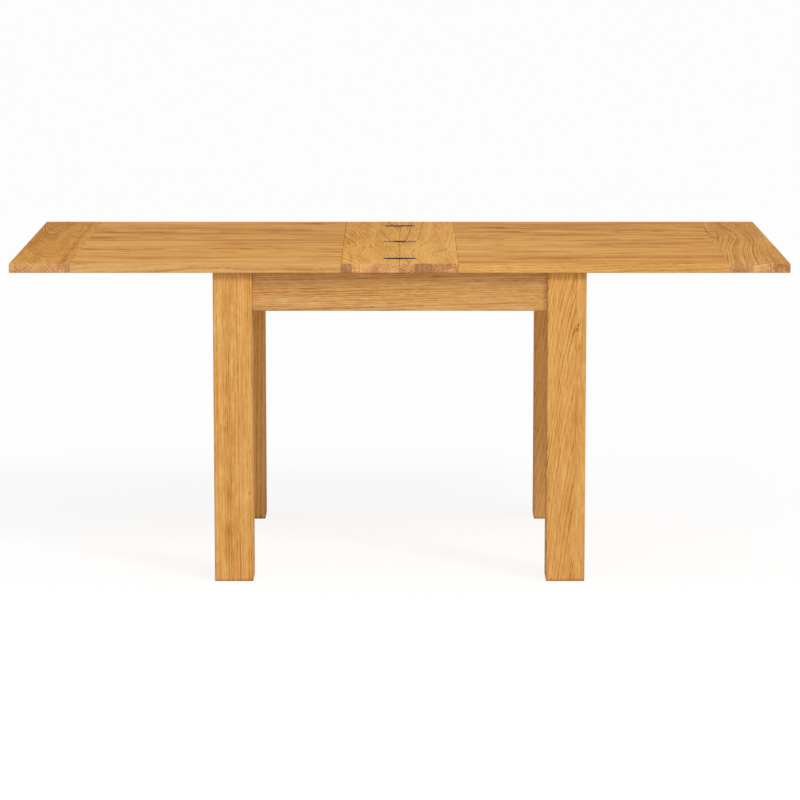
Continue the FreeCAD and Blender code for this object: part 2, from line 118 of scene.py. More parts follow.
def make_oak_pattern():
    """Oak in the round: yearly rings about the tree's heart, with pores, rays and streaks along the grain.

    Place is in metres from the board's middle: x with the grain, y across and z through it. Heart is
    the line of the tree's heart: x is how much it rises per metre, y and z where it runs. Lean is how
    far it goes across per metre."""
    tree, given, result = new_pattern(
        "oak_wood",
        [("Place", "Vector"), ("Heart", "Vector"), ("Lean", "Float"), ("Seed", "Float"), ("Ring", "Float"),
         ("Wander", "Float"), ("Ripple", "Float"), ("Push", "Float"), ("Tone", "Float"), ("Dark", "Float"),
         ("Contrast", "Float"), ("Lines", "Float"), ("Dashes", "Float"), ("Rays", "Float"),
         ("Bands", "Float"), ("Blush", "Float"), ("Tint", "Color")],
        [("Color", "Color"), ("Roughness", "Float"), ("Height", "Float")],
    )
    shift = vectors(tree, "SCALE", (3.1, 5.7, 9.3))
    feed(tree, shift.node.inputs["Scale"], given["Seed"])
    place = vectors(tree, "ADD", given["Place"], shift)

    # The heart wanders as the trunk bends, and the fibres ripple round what they pass.
    bent = given["Place"]
    for cloud, size in ((mottle(tree, place, (1.6, 2.4, 2.4), 1.0), given["Wander"]),
                        (mottle(tree, place, (6.5, 17.0, 17.0), 2.0), given["Ripple"])):
        move = vectors(tree, "SCALE", vectors(tree, "SUBTRACT", cloud["Color"], (0.5, 0.5, 0.5)))
        feed(tree, move.node.inputs["Scale"], size)
        bent = vectors(tree, "ADD", bent, vectors(tree, "MULTIPLY", move, (0.0, 1.0, 1.0)))
    along, across, through = parts_of(tree, bent)
    rise, heart_across, heart_through = parts_of(tree, given["Heart"])
    side = maths(tree, "SUBTRACT", across, maths(tree, "MULTIPLY_ADD", along, given["Lean"], heart_across))
    depth = maths(tree, "SUBTRACT", through, maths(tree, "MULTIPLY_ADD", along, rise, heart_through))
    radius = vectors(tree, "LENGTH", vector_of(tree, side, depth, 0.0))
    radius = maths(tree, "MULTIPLY_ADD", given["Push"], given["Ring"], radius)

    # Rings: each opens with a band of large pores and closes with dense wood.
    uneven = add(tree, "ShaderNodeTexNoise", noise_dimensions="1D")
    feed(tree, uneven.inputs["W"], maths(tree, "MULTIPLY_ADD", radius, 55.0, given["Seed"]))
    uneven.inputs["Scale"].default_value = 1.0
    uneven.inputs["Detail"].default_value = 1.0
    rings = maths(tree, "MULTIPLY_ADD", uneven.outputs[0], 2.5, maths(tree, "DIVIDE", radius, given["Ring"]))
    within = maths(tree, "FRACT", rings)
    chance = add(tree, "ShaderNodeTexWhiteNoise", noise_dimensions="1D")
    feed(tree, chance.inputs["W"], maths(tree, "ADD", maths(tree, "FLOOR", rings), given["Seed"]))
    strength = spread(tree, chance.outputs["Value"], 0.0, 1.0, 0.5, 1.0)
    fade = maths(tree, "POWER", maths(tree, "SUBTRACT", 1.0, within), 2.6)
    opening = spread(tree, within, 0.0, 0.10, 0.0, 1.0, smooth=True)
    early = maths(tree, "MULTIPLY", maths(tree, "MULTIPLY", fade, opening), strength)
    clear = spread(tree, mottle(tree, place, (5.0, 19.0, 19.0), 1.0)["Fac"], 0.38, 0.62, 0.60, 1.15)
    early = maths(tree, "MULTIPLY", early, clear)

    # Pores: dashes along the grain, crowded where a ring opens. Rays: thin sheets out from the heart.
    crowding = maths(tree, "MULTIPLY_ADD", early, 0.75, 0.25)
    fine = spread(tree, mottle(tree, place, (85.0, 1500.0, 1500.0), 1.0)["Fac"], 0.54, 0.68)
    coarse = spread(tree, mottle(tree, place, (66.0, 500.0, 500.0), 1.0)["Fac"], 0.50, 0.66)
    pores = maths(tree, "MULTIPLY", fine, crowding)
    dashes = maths(tree, "MULTIPLY", coarse, crowding)
    turn = maths(tree, "ARCTAN2", side, depth)
    ray_place = vector_of(tree, maths(tree, "ADD", along, given["Seed"]), turn, radius)
    rays = spread(tree, mottle(tree, ray_place, (40.0, 90.0, 26.0), 1.0)["Fac"], 0.58, 0.72)
    fibres = maths(tree, "SUBTRACT", mottle(tree, place, (22.0, 300.0, 300.0), 3.0, 0.7)["Fac"], 0.5)
    streaks = maths(tree, "SUBTRACT", mottle(tree, bent, (2.4, 60.0, 60.0), 2.0)["Fac"], 0.5)
    bands = maths(tree, "SUBTRACT", mottle(tree, bent, (3.0, 33.0, 33.0), 3.0, 0.6)["Fac"], 0.5)
    bands = maths(tree, "MULTIPLY", bands, given["Bands"])
    patches = maths(tree, "SUBTRACT", mottle(tree, place, (2.4, 7.0, 7.0), 2.0)["Fac"], 0.5)

    # How dark each point is, from 0 to 1.
    shade = bands
    for part, share in ((early, given["Lines"]), (pores, 0.25), (dashes, given["Dashes"]),
                        (rays, maths(tree, "MULTIPLY", given["Rays"], -1.0)), (fibres, 0.85), (streaks, 0.42),
                        (patches, 0.25)):
        shade = maths(tree, "MULTIPLY_ADD", part, share, shade)
    shade = maths(tree, "MULTIPLY_ADD", shade, given["Contrast"], 0.22)
    shade = maths(tree, "ADD", shade, given["Tone"])
    shade = maths(tree, "ADD", given["Dark"], shade, clamp=True)
    colour = add(tree, "ShaderNodeValToRGB")
    feed(tree, colour.inputs[0], shade)
    stops = colour.color_ramp.elements
    stops[0].position = 0.0
    stops[0].color = (0.84, 0.49, 0.150, 1.0)
    stops[1].position = 1.0
    stops[1].color = (0.25, 0.092, 0.022, 1.0)
    for position, tint in ((0.35, (0.68, 0.320, 0.082, 1.0)), (0.65, (0.51, 0.205, 0.043, 1.0))):
        stops.new(position).color = tint
    pinker = spread(tree, mottle(tree, place, (2.0, 26.0, 26.0), 1.0)["Fac"], 0.42, 0.68)
    pinker = maths(tree, "MULTIPLY", pinker, given["Blush"])
    wash = mixed(tree, pinker, (1.0, 1.0, 1.0, 1.0), (1.0, 0.90, 0.92, 1.0))
    dyed = vectors(tree, "MULTIPLY", vectors(tree, "MULTIPLY", colour.outputs[0], wash), given["Tint"])
    feed(tree, result["Color"], dyed)
    sheen = maths(tree, "MULTIPLY_ADD", fibres, 0.25, 0.60)
    feed(tree, result["Roughness"], maths(tree, "MULTIPLY_ADD", pores, 0.25, sheen))
    hollow = maths(tree, "ADD", pores, maths(tree, "MULTIPLY", dashes, 0.5))
    hollow = maths(tree, "MULTIPLY_ADD", early, 0.35, hollow)
    feed(tree, result["Height"], maths(tree, "SUBTRACT", 1.0, hollow))
    return tree


def make_knot_pattern():
    """A knot: the rings bow out round it, and it is dark at its heart."""
    tree, given, result = new_pattern(
        "oak_knot",
        [("Place", "Vector"), ("Middle", "Vector"), ("Size", "Float"), ("Long", "Float"), ("Bow", "Float"),
         ("Darkness", "Float")],
        [("Push", "Float"), ("Dark", "Float")],
    )
    along, across = parts_of(tree, vectors(tree, "SUBTRACT", given["Place"], given["Middle"]))[:2]
    along = maths(tree, "DIVIDE", along, given["Long"])
    wobble = mottle(tree, given["Place"], (60.0, 60.0, 60.0))["Fac"]
    away = vectors(tree, "LENGTH", vector_of(tree, along, across, 0.0))
    away = maths(tree, "DIVIDE", away, given["Size"])
    near = maths(tree, "EXPONENT", maths(tree, "MULTIPLY", maths(tree, "MULTIPLY", away, away), -1.0))
    feed(tree, result["Push"], maths(tree, "MULTIPLY", near, given["Bow"]))
    core = maths(tree, "MULTIPLY_ADD", maths(tree, "SUBTRACT", wobble, 0.5), 0.6, away)
    core = spread(tree, core, 0.22, 0.52, 1.0, 0.0, smooth=True)
    feed(tree, result["Dark"], maths(tree, "MULTIPLY", core, given["Darkness"]))
    return tree


def make_streak_pattern():
    """A mineral streak with the grain, which swells and thins and fades out at its ends."""
    tree, given, result = new_pattern(
        "oak_streak",
        [("Place", "Vector"), ("From", "Float"), ("To", "Float"), ("Across", "Float"), ("Width", "Float"),
         ("Darkness", "Float")],
        [("Dark", "Float")],
    )
    fading = 0.05
    along, across = parts_of(tree, given["Place"])[:2]
    wobble = maths(tree, "SUBTRACT", mottle(tree, given["Place"], (6.0, 3.0, 3.0))["Fac"], 0.5)
    line = maths(tree, "MULTIPLY_ADD", wobble, 0.016, given["Across"])
    swell = spread(tree, mottle(tree, given["Place"], (16.0, 5.0, 5.0), 1.0)["Fac"], 0.35, 0.65, 0.5, 1.3)
    width = maths(tree, "MULTIPLY", given["Width"], swell)
    away = maths(tree, "DIVIDE", maths(tree, "SUBTRACT", across, line), width)
    near = maths(tree, "EXPONENT", maths(tree, "MULTIPLY", maths(tree, "MULTIPLY", away, away), -1.0))
    start = spread(tree, maths(tree, "SUBTRACT", along, given["From"]), 0.0, fading, smooth=True)
    end = spread(tree, maths(tree, "SUBTRACT", given["To"], along), 0.0, fading, smooth=True)
    within = maths(tree, "MULTIPLY", maths(tree, "MULTIPLY", start, end), swell)
    dark = maths(tree, "MULTIPLY", maths(tree, "MULTIPLY", near, within), given["Darkness"])
    feed(tree, result["Dark"], dark)
    return tree


oak_pattern = make_oak_pattern()
knot_pattern = make_knot_pattern()
streak_pattern = make_streak_pattern()


def use(tree, pattern, **values):
    """One use of a pattern, with what it is given."""
    node = add(tree, "ShaderNodeGroup", node_tree=pattern)
    for title, value in values.items():
        feed(tree, node.inputs[title], value)
    return node.outputs


def new_material(name):
    """A new material: its nodes, its shader and the place of each point in the table."""
    material = bpy.data.materials.new(name)
    material.use_nodes = True
    tree = material.node_tree
    return material, tree, tree.nodes["Principled BSDF"], add(tree, "ShaderNodeTexCoord").outputs["Object"]


def along_the_board(tree, place, grain, middle):
    """Place turned to the board: x with the grain, y across it and z through it, from its middle."""
    axes = dict(zip("xyz", parts_of(tree, vectors(tree, "SUBTRACT", place, middle))))
    return vector_of(tree, *(axes[letter] for letter in grain))


glue_line_half = 0.0004
next_board_seed = 1.7


def oak_wood(tree, place, boards, seed, ring=0.0055, wander=0.012, ripple=0.005, lean=0.0, contrast=1.0,
             lines=0.55, dashes=0.36, rays=0.12, bands=0.3, knots=(), streaks=(), calm=None, glue=0.25,
             edges=0.0, blush=0.5, tint=(1.0, 1.0, 1.0, 1.0)):
    """Boards of oak glued side by side. Each board is its far side across the grain, its heart (rise,
    across, through) and its tone, where more is darker. A knot is along, across, size, length, bow,
    darkness; a streak is from, to, across, width, darkness, and below 0 it is pale. Calm is where
    across the board its lines fade, and how much of them is left."""
    across = parts_of(tree, place)[1]
    if calm:
        calm_from, calm_to, left = calm
        calmer = spread(tree, across, calm_from, calm_to, 1.0, left, smooth=True)
        lines = maths(tree, "MULTIPLY", calmer, lines)
    heart = boards[0][1]
    lot = (seed, boards[0][2], 0.0)
    dark = edges
    for near_board, far_board in zip(boards, boards[1:]):
        past = maths(tree, "GREATER_THAN", across, near_board[0])
        past = vector_of(tree, past, past, past)
        step = tuple(b - a for a, b in zip(near_board[1], far_board[1]))
        heart = vectors(tree, "MULTIPLY_ADD", past, step, heart)
        lot = vectors(tree, "MULTIPLY_ADD", past, (next_board_seed, far_board[2] - near_board[2], 0.0), lot)
        line = maths(tree, "COMPARE", across, near_board[0], glue_line_half)
        dark = maths(tree, "MULTIPLY_ADD", line, glue, dark)
    board_seed, tone = (seed, boards[0][2]) if len(boards) == 1 else parts_of(tree, lot)[:2]
    push = 0.0
    for at, side, size, long, bow, darkness in knots:
        knot = use(tree, knot_pattern, Place=place, Middle=(at, side, 0.0), Size=size, Long=long,
                   Bow=bow, Darkness=darkness)
        push = maths(tree, "ADD", knot["Push"], push)
        dark = maths(tree, "ADD", knot["Dark"], dark)
    for start, end, side, width, darkness in streaks:
        streak = use(tree, streak_pattern, Place=place, From=start, To=end, Across=side, Width=width,
                     Darkness=darkness)
        dark = maths(tree, "ADD", streak["Dark"], dark)
    return use(tree, oak_pattern, Place=place, Heart=heart, Lean=lean, Seed=board_seed, Ring=ring,
               Wander=wander, Ripple=ripple, Push=push, Tone=tone, Dark=dark, Contrast=contrast,
               Lines=lines, Dashes=dashes, Rays=rays, Bands=bands, Blush=blush, Tint=tint)


def lacquer(tree, shader, wood):
    """Thin satin lacquer over the wood, in which the pores still show."""
    feed(tree, shader.inputs["Base Color"], wood["Color"])
    feed(tree, shader.inputs["Roughness"], wood["Roughness"])
    shader.inputs["Specular IOR Level"].default_value = 0.015
    bump = add(tree, "ShaderNodeBump")
    bump.inputs["Strength"].default_value = 0.3
    bump.inputs["Distance"].default_value = 0.0004
    feed(tree, bump.inputs["Height"], wood["Height"])
    feed(tree, shader.inputs["Normal"], bump.outputs[0])


cut_starts = 0.0015
cut_full = 0.0005
redness = 0.27


def with_ends(tree, place, half_length, sides, ends):
    """The wood of a board's sides, and where it is cut across the grain that of its ends, which drink
    in more lacquer and look redder."""
    from_middle = maths(tree, "ABSOLUTE", parts_of(tree, place)[0])
    cut = spread(tree, from_middle, half_length - cut_starts, half_length - cut_full)
    end_colour = mixed(tree, redness, ends["Color"], (0.64, 0.36, 0.22, 1.0))
    return {
        "Color": mixed(tree, cut, sides["Color"], end_colour),
        "Roughness": spread(tree, cut, 0.0, 1.0, sides["Roughness"], ends["Roughness"]),
        "Height": spread(tree, cut, 0.0, 1.0, sides["Height"], ends["Height"]),
    }


def shade_and_wear_on_edges(tree, place, half, width=0.0035, darkness=0.10):
    """A darker line along each edge of a box this big, uneven: painted shade where the eased arris turns away
    from the light, and lacquer gathered and rubbed there.
    """
    gaps = []
    for size, part in zip(half, parts_of(tree, place)):
        gaps.append(maths(tree, "SUBTRACT", size, maths(tree, "ABSOLUTE", part)))
    near = 0.0
    for one, other in ((0, 1), (1, 2), (0, 2)):
        gap = maths(tree, "MAXIMUM", gaps[one], gaps[other])
        near = maths(tree, "MAXIMUM", spread(tree, gap, 0.0, width, 1.0, 0.0, smooth=True), near)
    uneven = spread(tree, mottle(tree, place, (25.0, 25.0, 25.0))["Fac"], 0.3, 0.7, 0.3, 1.0)
    return maths(tree, "MULTIPLY", maths(tree, "MULTIPLY", near, uneven), darkness)


foot_top = (0.002, 0.007)
rim_width = (0.0002, 0.0012)
rim_contrast = 0.75
ends_darker = 0.10


def oak(node, grain, boards, seed, foot_shade_and_scuff=0.0, rubbed=0.10, edge_bands=None, edge_tint=None, **figure):
    """Lacquered oak for one CAD node. Grain names the axes with the grain, across it and through it.
    Its lower end is darkened by one amount, painted shade where the foot meets the floor as well as scuffing,
    and the line along its edges by another, painted shade and wear; edge_bands and edge_tint are for the
    sides of a glued-up panel."""
    low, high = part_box(node)
    material, tree, shader, place = new_material("oak_" + node)
    place = along_the_board(tree, place, grain, (low + high) / 2)
    half = [(high - low)["xyz".index(letter)] / 2 for letter in grain]
    half_length = half[0]
    # Painted shade and wear: a darker line along the piece's edges.
    figure["edges"] = shade_and_wear_on_edges(tree, place, half, darkness=rubbed)
    # Painted shade at the foot: its lowest few millimetres are darker where it meets the floor, along with
    # scuffing.
    if foot_shade_and_scuff:
        height = maths(tree, "ADD", parts_of(tree, place)[0], half_length)
        figure["edges"] = maths(tree, "ADD", spread(tree, height, *foot_top, foot_shade_and_scuff, 0.0), figure["edges"])
    if edge_bands is not None:
        rim = maths(tree, "SUBTRACT", half[1], maths(tree, "ABSOLUTE", parts_of(tree, place)[1]))
        figure["bands"] = spread(tree, rim, *rim_width, edge_bands, figure["bands"])
        figure["contrast"] = spread(tree, rim, *rim_width, rim_contrast, figure["contrast"])
        figure["tint"] = mixed(tree, spread(tree, rim, *rim_width), edge_tint, figure["tint"])
    sides = oak_wood(tree, place, boards, seed, **figure)
    darker = [(side, heart, tone + ends_darker) for side, heart, tone in boards]
    ends = oak_wood(tree, place, darker, seed, **figure)
    lacquer(tree, shader, with_ends(tree, place, half_length, sides, ends))
    return material


def finish_with(node, material):
    """Gives a CAD node its material."""
    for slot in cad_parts[node].material_slots:
        slot.material = material


front_leg = {"contrast": 1.0, "tint": (0.97, 1.0, 1.03, 1.0)}
# The rear legs' boards have much paler tones than the front ones: painted light, making up for the shade they
# stand in under the top.
rear_leg = {"contrast": 0.95, "tint": (1.00, 0.985, 1.06, 1.0), "ring": 0.0068}
legs = {
    "leg_front_left": {
        **front_leg, "ring": 0.0058,
        "boards": [(0.045, (0.02, 0.17, -0.12), 0.0)],
        "knots": [(-0.155, 0.036, 0.008, 1.6, 1.0, 0.20)],
        "streaks": [(-0.34, 0.34, -0.009, 0.009, 0.15), (-0.34, 0.34, 0.018, 0.003, -0.10)],
    },
    "leg_front_right": {
        **front_leg, "ring": 0.0046, "calm": (0.014, 0.024, 0.35),
        "boards": [(0.0216, (0.16, 0.136, 0.1275), -0.02), (0.045, (0.02, 0.26, 0.05), 0.0)],
        "knots": [(0.243, 0.027, 0.008, 1.6, 0.3, 0.38), (0.231, 0.025, 0.008, 1.5, 0.3, 0.40),
                  (0.190, 0.029, 0.012, 1.6, 0.4, 0.16)],
        "streaks": [(-0.34, -0.10, 0.018, 0.006, -0.08)],
    },
    "leg_rear_left": {
        **rear_leg,
        "boards": [(0.010, (0.03, 0.15, -0.16), -0.26), (0.045, (0.02, -0.14, -0.17), -0.23)],
    },
    "leg_rear_right": {
        **rear_leg,
        "boards": [(-0.012, (0.20, -0.15, -0.16), -0.19), (0.045, (0.03, 0.11, -0.15), -0.21)],
    },
}
for number, (node, figure) in enumerate(legs.items()):
    finish_with(node, oak(node, "zxy", seed=2.3 + 3 * number, ripple=0.004, lines=0.68, dashes=0.32,
                          bands=0.2, foot_shade_and_scuff=0.35, **figure))


# ----------------------------------------------------------------------------------------- Aprons
# Four oak aprons, one board each with the grain lengthwise, set 12 mm back from the legs' faces and
# glued and screwed to them through the corner blocks. Their lower edges are eased.

apron_boards = [(0.045, (0.025, -0.12, -0.10), 0.04)]
apron_grain = {"front": "xzy", "rear": "xzy", "left": "yzx", "right": "yzx"}
for number, (side, grain) in enumerate(apron_grain.items()):
    node = "apron_" + side
    finish_with(node, oak(node, grain, apron_boards, 21.4 + 2 * number, ring=0.0044, ripple=0.004,
                          lines=0.60, tint=(0.91, 1.0, 1.26, 1.0)))


# ----------------------------------------------------------------------------- Panels of the leaves
# Each leaf's panel is glued up edge to edge from solid oak boards that run along the table. They are
# chosen for colour but not matched, so each keeps its own figure, and their ends are tongued.

panel_boards = {
    "fixed_leaf_panel": [
        (-0.327, (0.02, -0.30, -0.06), -0.085),
        (-0.167, (0.05, -0.22, -0.06), -0.095),
        (0.021, (0.04, -0.07, -0.05), -0.075),
        (0.146, (0.03, 0.08, -0.09), 0.020),
        (0.283, (0.05, 0.21, -0.05), 0.005),
        (0.450, (0.02, 0.40, -0.08), -0.035),
    ],
    "flap_panel": [
        (-0.283, (0.02, -0.36, -0.07), 0.035),
        (-0.150, (0.03, -0.22, -0.05), -0.085),
        (-0.008, (0.04, -0.07, -0.07), -0.085),
        (0.130, (0.05, 0.06, -0.05), -0.055),
        (0.267, (0.03, 0.22, -0.09), -0.020),
        (0.369, (0.05, 0.31, -0.05), -0.020),
        (0.450, (0.02, 0.50, -0.08), 0.025),
    ],
}
panel_streaks = {
    "fixed_leaf_panel": [(-0.02, 0.18, -0.150, 0.008, 0.25), (-0.30, -0.20, 0.197, 0.008, 0.22),
                         (-0.50, 0.50, -0.158, 0.009, 0.36), (-0.50, 0.50, 0.245, 0.026, 0.16)],
    "flap_panel": [(0.07, 0.28, -0.052, 0.008, 0.35), (0.0, 0.13, -0.25, 0.009, 0.20),
                   (-0.50, 0.50, 0.137, 0.007, 0.42), (-0.50, 0.50, 0.250, 0.020, 0.12),
                   (-0.50, 0.50, 0.190, 0.018, -0.18), (-0.50, 0.50, 0.030, 0.014, -0.14)],
}
panel_edges = {"fixed_leaf_panel": (0.86, 0.90, 1.09, 1.0), "flap_panel": (1.0, 1.10, 1.22, 1.0)}
for number, node in enumerate(panel_boards):
    finish_with(node, oak(node, "xyz", panel_boards[node], 41.7 + 9 * number, wander=0.026, ripple=0.008,
                          contrast=0.95, bands=1.3, tint=(1.0, 0.99, 0.92, 1.0), rubbed=0.04,
                          edge_bands=0.2, edge_tint=panel_edges[node], streaks=panel_streaks[node]))


# ------------------------------------------------------------------------- Crossbands of the leaves
# Staved oak across both ends of each leaf, faced with one wide thick-sawn sheet of oak top and bottom,
# and grooved over the panel's tongues. The pair beside the leaves' joint carries the hinges.

bands = {
    "fixed_leaf_outer_crossband": {
        "figure": {
            "boards": [(0.07, (0.07, -0.016, -0.055), 0.08)],
            "lean": -0.05, "ring": 0.0034, "wander": 0.016, "ripple": 0.009, "lines": 0.72,
            "dashes": 0.25, "calm": (-0.01, 0.03, 0.35), "blush": 0.0, "tint": (1.0, 1.0, 0.78, 1.0),
            "streaks": [(-0.5, 0.5, 0.049, 0.006, 0.26), (0.05, 0.5, 0.034, 0.005, 0.12)],
        },
        "seam": 0.0,
        "staves": [(-0.0577, (0.0, 0.15, -0.15), -0.17), (-0.0347, (0.0, 0.12, -0.16), -0.14),
                   (0.0021, (0.0, 0.14, -0.13), -0.07), (0.0420, (0.0, -0.15, -0.14), -0.27),
                   (0.07, (0.0, 0.22, -0.02), 0.07)],
    },
    "fixed_leaf_inner_crossband": {
        "figure": {
            "boards": [(0.07, (-0.09, -0.12, -0.11), -0.09)],
            "lean": -0.10, "ring": 0.0052, "wander": 0.022, "ripple": 0.010, "contrast": 1.15,
            "lines": 0.75, "dashes": 0.20, "blush": 0.3, "tint": (1.04, 1.02, 0.85, 1.0),
            "knots": [(-0.13, -0.018, 0.010, 1.5, 1.5, 0.4), (-0.13, -0.006, 0.006, 1.5, 0.8, 0.3),
                      (-0.14, -0.020, 0.034, 2.6, 2.4, 0.0), (0.26, -0.040, 0.034, 3.0, -2.4, 0.0),
                      (0.05, 0.035, 0.030, 3.0, 1.6, 0.0)],
            "streaks": [(-0.46, -0.25, -0.045, 0.005, 0.15), (-0.10, 0.05, -0.06, 0.005, 0.15)],
        },
        "seam": 0.5,
        "staves": [(-0.0437, (0.0, -0.12, 0.12), 0.42), (0.0115, (0.0, 0.25, 0.02), -0.10),
                   (0.0368, (0.0, 0.15, -0.14), 0.06), (0.07, (0.0, 0.12, -0.16), -0.22)],
    },
    "flap_inner_crossband": {
        "figure": {
            "boards": [(0.07, (0.03, 0.16, -0.10), -0.11)],
            "lean": 0.04, "ring": 0.0072, "wander": 0.005, "lines": 0.85, "dashes": 0.20,
            "calm": (-0.052, -0.018, 0.42), "tint": (1.04, 1.03, 0.93, 1.0),
            "knots": [(-0.242, -0.018, 0.055, 3.6, -6.0, 0.0), (-0.24, -0.024, 0.006, 1.4, 0.0, 0.4),
                      (0.29, -0.005, 0.006, 1.5, 0.2, 0.3), (-0.03, 0.060, 0.005, 2.0, 0.3, 0.6)],
        },
        "seam": 0.5,
        "staves": [(-0.0335, (0.0, -0.13, -0.15), 0.07), (0.0057, (0.0, 0.01, -0.20), 0.60),
                   (0.0310, (0.0, 0.14, -0.13), 0.28), (0.07, (0.0, 0.22, 0.03), 0.26)],
    },
    "flap_outer_crossband": {
        "figure": {
            "boards": [(0.07, (0.03, -0.11, -0.07), -0.03)],
            "ring": 0.0060, "wander": 0.006, "ripple": 0.004, "lines": 0.85, "dashes": 0.25,
            "tint": (0.98, 0.97, 0.91, 1.0),
            "knots": [(0.10, 0.010, 0.055, 4.0, -4.0, 0.0), (0.22, -0.066, 0.045, 0.7, 0.0, 0.28),
                      (0.085, -0.066, 0.050, 0.7, 0.0, 0.30), (-0.238, 0.052, 0.006, 1.4, 0.4, 0.5)],
            "streaks": [(-0.5, 0.1, -0.03, 0.005, 0.10)],
        },
        "seam": 0.0,
        "staves": [(-0.0160, (0.0, -0.14, -0.16), 0.10), (0.0174, (0.0, 0.03, -0.22), -0.35),
                   (0.0335, (0.0, 0.22, 0.03), -0.03), (0.07, (0.0, 0.12, -0.14), 0.40)],
    },
}


hinge_spacing = 0.35
plate_end_middle = 0.0442
plate_end_radius = 0.0140
shade_and_grime_width = (0.0006, 0.0030)


def shade_and_grime_round_hinges(tree, place, toward_panel):
    """Darker wood round the hinges' recesses in the top: painted shade at the recess edge, as well as wax and
    dust gathered against the plates.
    """
    along, across, through = parts_of(tree, place)
    from_hinge = maths(tree, "ABSOLUTE", along)
    from_next = maths(tree, "ABSOLUTE", maths(tree, "SUBTRACT", from_hinge, hinge_spacing))
    from_hinge = maths(tree, "MINIMUM", from_hinge, from_next)
    past_end = maths(tree, "MULTIPLY_ADD", across, toward_panel, plate_end_middle)
    past_end = maths(tree, "MAXIMUM", past_end, 0.0)
    away = vectors(tree, "LENGTH", vector_of(tree, from_hinge, past_end, 0.0))
    away = maths(tree, "SUBTRACT", away, plate_end_radius)
    hinge_shade_and_grime = spread(tree, away, *shade_and_grime_width, 0.5, 0.0)
    return maths(tree, "MULTIPLY", hinge_shade_and_grime, maths(tree, "GREATER_THAN", through, 0.0))


seam_width = (0.0008, 0.0024)


def crossband(node, band, seed):
    """Oak for one crossband: the facing's figure all round, and its staves where they are cut across."""
    low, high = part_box(node)
    material, tree, shader, place = new_material("oak_" + node)
    place = along_the_board(tree, place, "yxz", (low + high) / 2)
    half = [(high - low)["xyz".index(letter)] / 2 for letter in "yxz"]
    toward_panel = 1 if "fixed_leaf_outer" in node or "flap_inner" in node else -1
    gap = maths(tree, "MULTIPLY_ADD", parts_of(tree, place)[1], -toward_panel, half[1])
    seam = maths(tree, "MULTIPLY", spread(tree, gap, *seam_width, 1.0, 0.0), band["seam"])
    uneven = spread(tree, mottle(tree, place, (12.0, 12.0, 12.0))["Fac"], 0.3, 0.6, 0.3, 1.0)
    # Painted shade and wear: a darker line along the band's edges.
    edges = shade_and_wear_on_edges(tree, place, half, width=0.0020, darkness=0.08)
    edges = maths(tree, "MULTIPLY_ADD", seam, uneven, edges)
    if "inner" in node:
        # Painted shade and grime round the hinge recesses.
        edges = maths(tree, "ADD", shade_and_grime_round_hinges(tree, place, toward_panel), edges)
    face = oak_wood(tree, place, seed=seed, edges=edges, **band["figure"])
    staves = oak_wood(tree, place, band["staves"], seed + 1, ring=0.0036, wander=0.004, ripple=0.001,
                      contrast=2.2, lines=0.8, rays=0.35, glue=0.35)
    lacquer(tree, shader, with_ends(tree, place, (high - low).y / 2, face, staves))
    return material


for number, (node, band) in enumerate(bands.items()):
    finish_with(node, crossband(node, band, 71.7 + 4 * number))


# ------------------------------------------------------------- Corner blocks, rails and slide runners
# Plain beech pieces out of sight: a mitred block in each corner, two grooved rails between the side
# aprons, and the two battens under the fixed leaf whose tongues run in the rails. All are sawn,
# sanded and wiped with one thin coat.

def make_beech_pattern():
    """Steamed beech: pinkish tan with faint yearly rings, and short dark flecks where the rays are cut."""
    tree, given, result = new_pattern(
        "beech_wood",
        [("Place", "Vector"), ("Seed", "Float")],
        [("Color", "Color"), ("Roughness", "Float"), ("Height", "Float")],
    )
    shift = vectors(tree, "SCALE", (2.3, 7.1, 4.9))
    feed(tree, shift.node.inputs["Scale"], given["Seed"])
    place = vectors(tree, "ADD", given["Place"], shift)
    cloud = mottle(tree, place, (1.5, 12.0, 12.0), 1.0)["Fac"]
    across, through = parts_of(tree, place)[1:]
    depth = maths(tree, "MULTIPLY_ADD", cloud, 0.016, across)
    depth = maths(tree, "MULTIPLY_ADD", through, 0.5, depth)
    year = maths(tree, "SINE", maths(tree, "MULTIPLY", depth, 1900.0))
    flecks = spread(tree, mottle(tree, place, (170.0, 1250.0, 1250.0), 1.0)["Fac"], 0.61, 0.69)
    fibres = mottle(tree, place, (30.0, 900.0, 900.0), 3.0, 0.7)["Fac"]
    patches = mottle(tree, place, (3.0, 14.0, 14.0), 3.0)["Fac"]
    shade = maths(tree, "MULTIPLY", flecks, 0.50)
    for part, share in ((year, 0.05), (fibres, 0.55), (patches, 0.55)):
        shade = maths(tree, "MULTIPLY_ADD", part, share, shade)
    colour = add(tree, "ShaderNodeValToRGB")
    feed(tree, colour.inputs[0], maths(tree, "SUBTRACT", shade, 0.25, clamp=True))
    stops = colour.color_ramp.elements
    stops[0].color = (0.66, 0.42, 0.250, 1.0)
    stops[1].color = (0.25, 0.120, 0.060, 1.0)
    stops.new(0.45).color = (0.53, 0.310, 0.170, 1.0)
    feed(tree, result["Color"], colour.outputs[0])
    feed(tree, result["Roughness"], maths(tree, "MULTIPLY_ADD", fibres, 0.2, 0.58))
    feed(tree, result["Height"], maths(tree, "MULTIPLY_ADD", flecks, -0.5, fibres))
    return tree


beech_pattern = make_beech_pattern()


def beech(node, along, across, seed):
    """Beech with its grain along one direction."""
    material, tree, shader, place = new_material("beech_" + node)
    through = tuple(Vector(along).cross(Vector(across)))
    turned = vector_of(tree, *(vectors(tree, "DOT_PRODUCT", place, way) for way in (along, across, through)))
    lacquer(tree, shader, use(tree, beech_pattern, Place=turned, Seed=seed))
    return material


